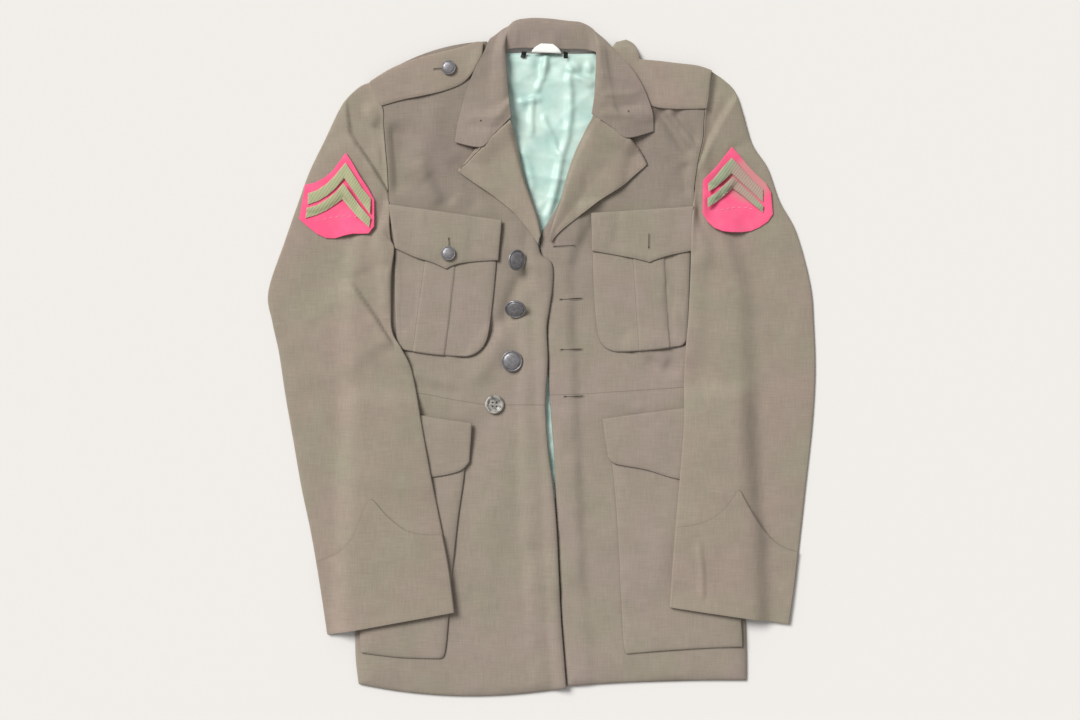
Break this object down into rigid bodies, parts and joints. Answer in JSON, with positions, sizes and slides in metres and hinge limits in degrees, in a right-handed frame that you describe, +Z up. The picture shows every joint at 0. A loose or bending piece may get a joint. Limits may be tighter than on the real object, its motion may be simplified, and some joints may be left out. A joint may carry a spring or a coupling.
{
  "type": "service jacket laid flat",
  "caption": "Olive-drab wool service jacket laid flat on its back, unbuttoned, with notched lapels, shoulder straps, pleated and patch pockets and chevron badges.",
  "frame": {"origin": "on the surface that the jacket lies on, under the middle of its outline", "axes": "+Y from the hem to the collar, +X to the wearer's left, +Z up from the surface"},
  "size_m": [0.6587, 0.814, 0.0279],
  "materials": {
    "wool_cloth": "matt worsted wool in olive drab, faded to a warm grey-brown",
    "lining_satin": "soft sheen, pale mint satin",
    "red_felt": "matt bright red felt",
    "green_braid": "matt ribbed sage green braid",
    "white_tape": "matt white woven tape",
    "black_ribbon": "black ribbon with a slight sheen",
    "dark_metal": "oxidised dark bronze, satin",
    "grey_plastic": "glossy marbled grey plastic"
  },
  "bodies": {
    "root": {"back": "wool_cloth", "back_lining": "lining_satin", "collar": "wool_cloth", "front_button_1": "dark_metal", "front_button_2": "dark_metal", "front_button_3": "dark_metal", "left_badge": "red_felt", "left_chest_flap": "wool_cloth", "left_chest_pocket": "wool_cloth", "left_cuff": "wool_cloth", "left_front": "wool_cloth", "left_lapel": "wool_cloth", "left_lower_flap": "wool_cloth", "left_lower_pocket": "wool_cloth", "left_sleeve": "wool_cloth", "left_strap": "wool_cloth", "left_stripe_lower": "green_braid", "left_stripe_upper": "green_braid", "loop_end_left": "black_ribbon", "loop_end_right": "black_ribbon", "neck_label": "white_tape", "plain_button": "grey_plastic", "pocket_button": "dark_metal", "right_badge": "red_felt", "right_chest_flap": "wool_cloth", "right_chest_pocket": "wool_cloth", "right_cuff": "wool_cloth", "right_front": "wool_cloth", "right_lapel": "wool_cloth", "right_lower_flap": "wool_cloth", "right_lower_pocket": "wool_cloth", "right_sleeve": "wool_cloth", "right_strap": "wool_cloth", "right_stripe_lower": "green_braid", "right_stripe_upper": "green_braid", "strap_button": "dark_metal"}
  },
  "joints": []
}
